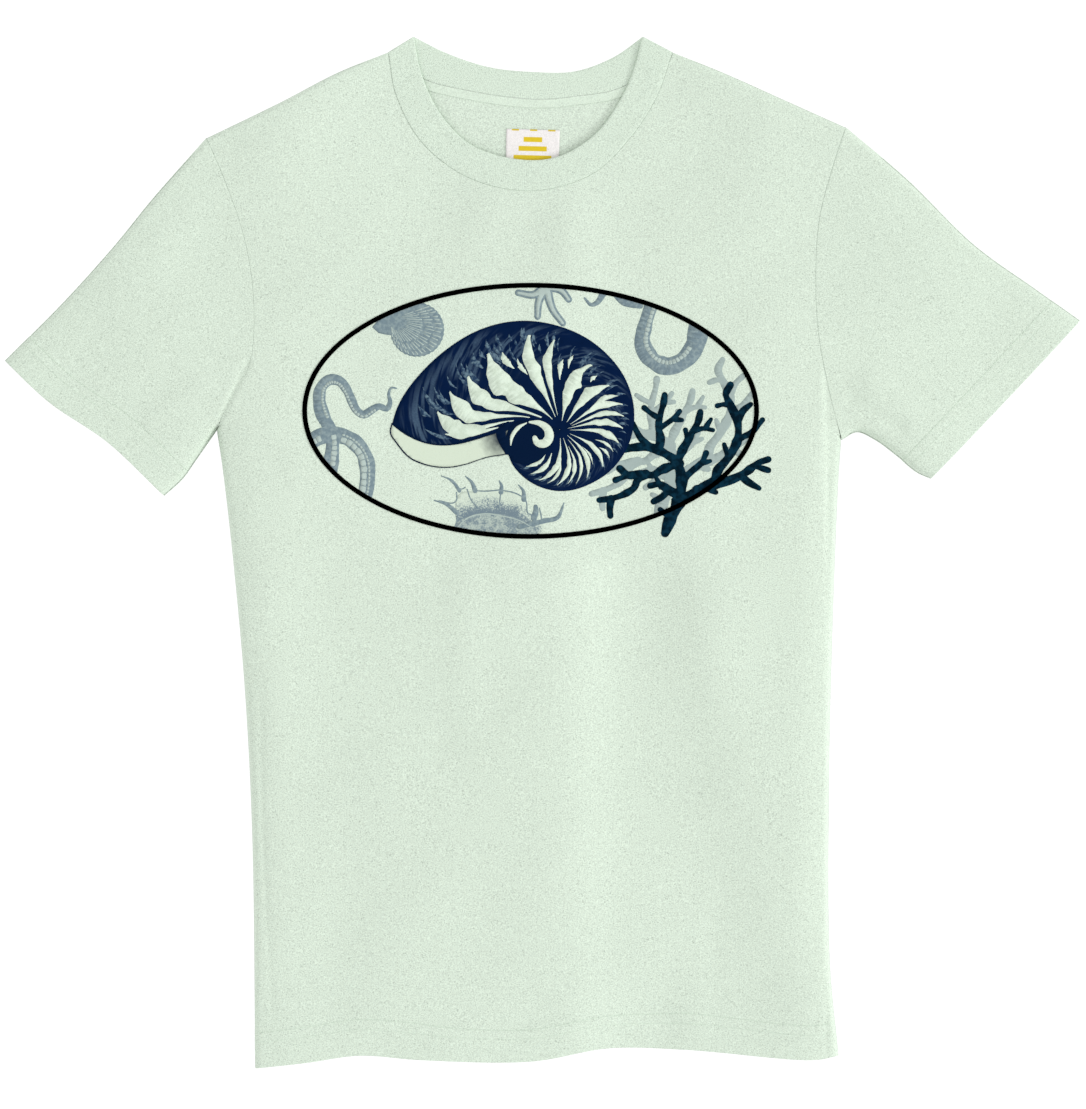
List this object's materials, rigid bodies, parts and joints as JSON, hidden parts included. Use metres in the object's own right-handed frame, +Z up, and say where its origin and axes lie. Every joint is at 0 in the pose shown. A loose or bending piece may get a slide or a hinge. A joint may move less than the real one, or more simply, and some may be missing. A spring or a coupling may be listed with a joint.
{
  "type": "crew-neck t-shirt",
  "caption": "Short-sleeve crew-neck jersey t-shirt lying flat on its back, with a ribbed collar, an inner neck label, twin-needle hems and a sea-life print on the chest.",
  "frame": {"origin": "on the surface the shirt lies on, below the middle of its outline", "axes": "+X towards the wearer's left sleeve, +Y from the hem towards the collar, +Z up through the shirt from its back to its front"},
  "size_m": [0.7525, 0.7228, 0.026],
  "materials": {
    "jersey": "matt heathered cotton jersey, pale mint",
    "rib": "matt fine rib knit, pale mint",
    "neck_tape": "matt herringbone tape, pale mint",
    "label": "smooth woven satin, off-white with plain mustard stripes",
    "thread": "polyester sewing thread, pale mint",
    "print_ink": "matt screen-print ink in black, navy, teal and grey"
  },
  "bodies": {
    "root": {"front_panel": "jersey", "back_panel": "jersey", "sleeve_left": "jersey", "sleeve_right": "jersey", "neck_rib": "rib", "neck_tape": "neck_tape", "neck_label": "label", "hem_stitching": "thread", "cuff_left_stitching": "thread", "cuff_right_stitching": "thread"}
  },
  "joints": []
}
